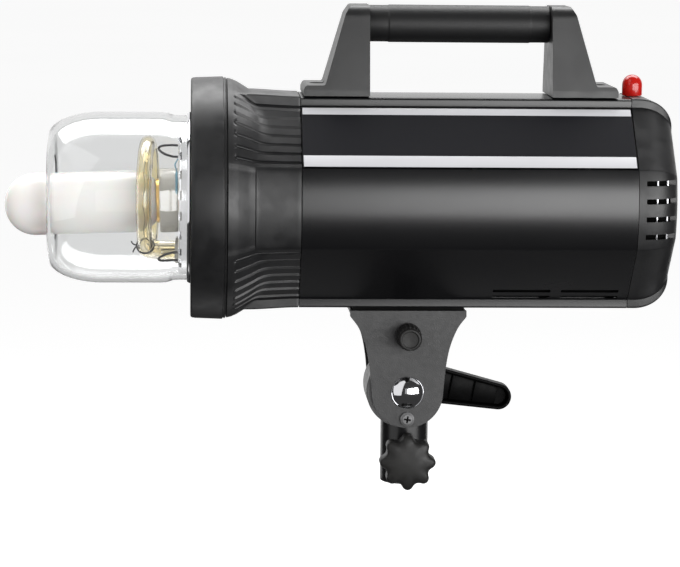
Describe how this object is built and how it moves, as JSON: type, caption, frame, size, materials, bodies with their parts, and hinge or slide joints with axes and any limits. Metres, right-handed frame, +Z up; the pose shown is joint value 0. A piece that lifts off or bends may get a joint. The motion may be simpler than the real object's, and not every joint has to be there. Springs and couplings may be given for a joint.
{
  "type": "monolight studio strobe",
  "caption": "Studio flash head with a glass dome, ring tube and modelling lamp, carrying handle, and a tilting bracket with a stand socket.",
  "frame": {"origin": "centre of the blind end of the stand socket, where the stand's spigot bears", "axes": "+Z up along the stand, -X the way the light fires, -Y the side with the clamp knobs"},
  "size_m": [0.3997, 0.1442, 0.2865],
  "materials": {
    "black_plastic": "moulded, satin black",
    "black_paint": "smooth satin black coat",
    "grey_paint": "fine textured dark grey powder coat",
    "label_film": "dark printed film with light stripes",
    "rubber": "matt black",
    "chrome": "polished",
    "aluminium": "bright",
    "steel": "brushed",
    "brass": "plain",
    "clear_glass": "clear, fire-polished",
    "frosted_glass": "frosted white",
    "quartz": "clear with a warm coating",
    "ceramic": "unglazed",
    "red_lens": "translucent red",
    "blue_sleeve": "sleeving",
    "dark_lens": "smoked window",
    "board": "green laminate",
    "capacitor_sleeve": "shrink sleeve"
  },
  "bodies": {
    "stand": {"stand_adapter": "black_paint", "friction_disc_near": "steel", "friction_disc_far": "steel"},
    "head": {"upper_shell": "black_paint", "lower_shell": "black_paint", "nameplate_near": "label_film", "nameplate_far": "label_film", "front_collar": "black_plastic", "mount_ring": "black_plastic", "bayonet_plate": "steel", "reflector_pan": "aluminium", "dome_clip_1": "steel", "dome_clip_2": "steel", "dome_clip_3": "steel", "tube_socket_near": "ceramic", "tube_socket_far": "ceramic", "lamp_holder": "ceramic", "thermal_sensor": "blue_sleeve", "rear_cap": "black_plastic", "control_panel": "black_paint", "display_window": "dark_lens", "power_inlet": "black_plastic", "sync_jack": "steel", "sensor_dome": "red_lens", "handle_front_post": "black_plastic", "handle_rear_post": "black_plastic", "handle_grip": "rubber", "capacitor_near": "capacitor_sleeve", "capacitor_far": "capacitor_sleeve", "main_board": "board", "fan_frame": "black_plastic", "tilt_bracket": "grey_paint", "bracket_pad": "rubber", "bracket_screw_front": "steel", "bracket_screw_rear": "steel", "umbrella_block": "grey_paint", "pivot_bolt": "chrome", "cheek_screw": "steel"},
    "stand_knob": {"stand_knob": "black_plastic", "stand_knob_stud": "steel"},
    "umbrella_knob": {"umbrella_knob": "rubber", "umbrella_knob_stud": "steel"},
    "tilt_lever": {"tilt_lever": "black_plastic", "lever_hub": "steel"},
    "dome": {"glass_dome": "clear_glass", "dome_ring": "chrome"},
    "modelling_lamp": {"lamp_envelope": "frosted_glass", "lamp_cap": "brass"},
    "flash_tube": {"flash_tube": "quartz", "trigger_wire": "steel"},
    "mount_lock": {"lock_slider": "black_plastic", "lock_pin": "steel"},
    "mode_button": {"mode_button": "grey_paint"},
    "model_lamp_button": {"model_lamp_button": "grey_paint"},
    "sound_button": {"sound_button": "grey_paint"},
    "test_button": {"test_button": "grey_paint"},
    "power_dial": {"power_dial": "black_plastic"},
    "power_switch": {"power_switch": "black_plastic"},
    "fuse_cap": {"fuse_cap": "black_plastic"},
    "fan_rotor": {"fan_rotor": "black_plastic"}
  },
  "joints": [
    {"name": "head_tilt", "type": "hinge", "parent": "stand", "child": "head", "pos_m": [0, 0, 0.0214], "axis": [0, 1, 0], "range_deg": [-90, 90]},
    {"name": "stand_knob_turn", "type": "hinge", "parent": "stand", "child": "stand_knob", "pos_m": [0, -0.03, -0.019], "axis": [0, 1, 0], "continuous": true},
    {"name": "umbrella_knob_turn", "type": "hinge", "parent": "head", "child": "umbrella_knob", "pos_m": [0, -0.03, 0.0557], "axis": [0, 1, 0], "continuous": true},
    {"name": "tilt_lever_turn", "type": "hinge", "parent": "head", "child": "tilt_lever", "pos_m": [0, 0.03, 0.0214], "axis": [0, 1, 0], "range_deg": [-45, 95]},
    {"name": "dome_slide", "type": "slide", "parent": "head", "child": "dome", "axis": [-1, 0, 0], "range_m": [0, 0.13]},
    {"name": "modelling_lamp_slide", "type": "slide", "parent": "head", "child": "modelling_lamp", "axis": [-0.9995, 0, -0.0332], "range_m": [0, 0.03]},
    {"name": "flash_tube_slide", "type": "slide", "parent": "head", "child": "flash_tube", "axis": [-1, 0, 0], "range_m": [0, 0.012]},
    {"name": "mount_lock_slide", "type": "slide", "parent": "head", "child": "mount_lock", "axis": [1, 0, 0], "range_m": [0, 0.003], "stiffness_N_per_m": 800, "springref_m": -0.002},
    {"name": "mode_button_press", "type": "slide", "parent": "head", "child": "mode_button", "axis": [-1, 0, 0], "range_m": [0, 0.0012], "stiffness_N_per_m": 900, "springref_m": -0.0006},
    {"name": "model_lamp_button_press", "type": "slide", "parent": "head", "child": "model_lamp_button", "axis": [-1, 0, 0], "range_m": [0, 0.0012], "stiffness_N_per_m": 900, "springref_m": -0.0006},
    {"name": "sound_button_press", "type": "slide", "parent": "head", "child": "sound_button", "axis": [-1, 0, 0], "range_m": [0, 0.0012], "stiffness_N_per_m": 900, "springref_m": -0.0006},
    {"name": "test_button_press", "type": "slide", "parent": "head", "child": "test_button", "axis": [-1, 0, 0], "range_m": [0, 0.0012], "stiffness_N_per_m": 900, "springref_m": -0.0006},
    {"name": "power_dial_turn", "type": "hinge", "parent": "head", "child": "power_dial", "pos_m": [0.16, 0, 0.139], "axis": [1, 0, 0], "continuous": true},
    {"name": "power_switch_rock", "type": "hinge", "parent": "head", "child": "power_switch", "pos_m": [0.152, 0.014, 0.11], "axis": [0, -1, 0], "range_deg": [0, 14]},
    {"name": "fuse_cap_turn", "type": "hinge", "parent": "head", "child": "fuse_cap", "pos_m": [0.15, 0.0285, 0.1205], "axis": [1, 0, 0], "range_deg": [0, 90]},
    {"name": "fan_spin", "type": "hinge", "parent": "head", "child": "fan_rotor", "pos_m": [0.115, 0, 0.135], "axis": [1, 0, 0], "continuous": true}
  ]
}
